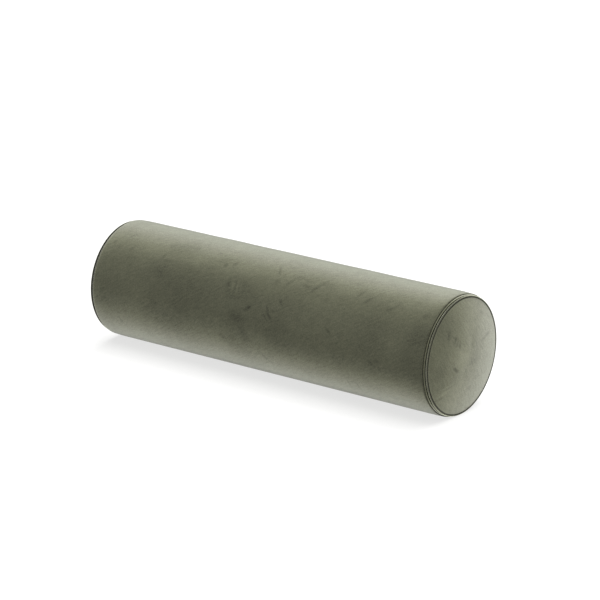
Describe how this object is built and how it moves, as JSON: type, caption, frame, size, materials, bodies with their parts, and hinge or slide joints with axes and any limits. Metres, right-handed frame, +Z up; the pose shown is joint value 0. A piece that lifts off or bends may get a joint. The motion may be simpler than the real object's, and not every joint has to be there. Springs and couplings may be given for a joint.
{
  "type": "round bolster",
  "caption": "Long round velvet bolster with softly crowned ends and a fine stitched seam round each rim, lying on its side.",
  "frame": {"origin": "on the surface that the bolster lies on, under the middle of its length and width", "axes": "+X along the bolster's length, +Y across it towards the back, where the tube's lengthwise seam is, +Z up"},
  "size_m": [0.7202, 0.2, 0.198],
  "materials": {
    "velvet": "short cut-pile velvet, grey olive green, dull face on and pale where it is seen at a glancing angle"
  },
  "bodies": {
    "root": {"filled_tube": "velvet", "end_disc_left": "velvet", "end_disc_right": "velvet"}
  },
  "joints": []
}
